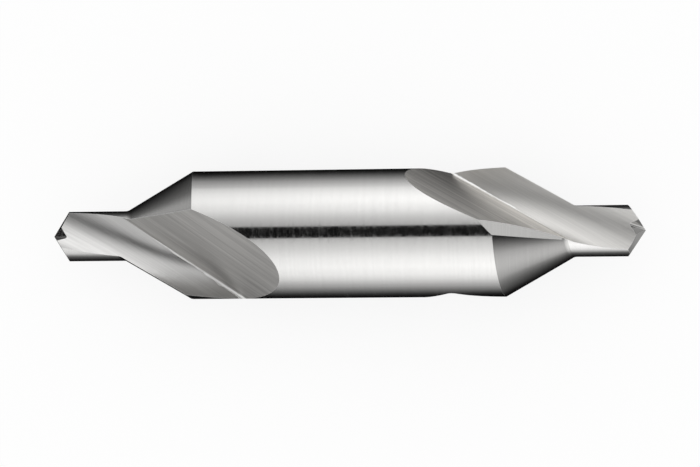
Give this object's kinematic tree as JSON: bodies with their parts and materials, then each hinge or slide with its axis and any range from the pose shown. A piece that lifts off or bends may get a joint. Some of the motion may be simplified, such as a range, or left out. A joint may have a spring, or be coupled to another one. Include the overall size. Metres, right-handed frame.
{
  "type": "centre drill",
  "caption": "Double-ended centre drill: a short pilot drill and a conical countersink at each end of a plain round body, with straight slanting flutes.",
  "frame": {"origin": "on the tool's axis, half way between its two points", "axes": "+X along the axis towards the end at the right of the picture, +Y up in the picture, +Z towards the picture's viewer"},
  "size_m": [0.074, 0.016, 0.016],
  "materials": {
    "ground_steel": "ground high-speed steel: bright fine-ground body, finer satin cones, flute walls with straight grinding lines"
  },
  "bodies": {
    "root": {"centre_drill": "ground_steel"}
  },
  "joints": []
}
